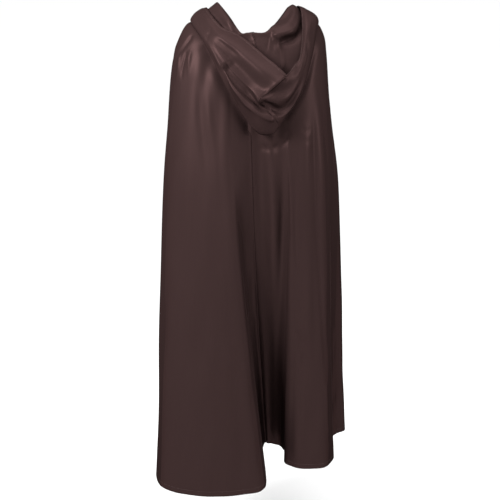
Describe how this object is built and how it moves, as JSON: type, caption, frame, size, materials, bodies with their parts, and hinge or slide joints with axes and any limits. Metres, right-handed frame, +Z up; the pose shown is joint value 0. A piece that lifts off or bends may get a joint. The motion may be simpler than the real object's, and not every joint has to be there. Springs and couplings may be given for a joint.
{
  "type": "hooded cloak",
  "caption": "Full-length satin hooded cloak hanging as if worn, hood thrown back in a folded cowl, deep soft folds down the back and an uneven curved hem.",
  "frame": {"origin": "middle of the neck opening, at the height where the cloth lies on the shoulders beside the neck", "axes": "+X to the wearer's left, +Y to the wearer's back, +Z up; the front faces -Y"},
  "size_m": [0.6165, 0.4767, 1.4293],
  "materials": {
    "satin": "dark brown satin with a soft sheen"
  },
  "bodies": {
    "root": {"cloak_back_left": "satin", "cloak_back_right": "satin", "cloak_front_left": "satin", "cloak_front_right": "satin", "hood_left": "satin", "hood_right": "satin"}
  },
  "joints": []
}
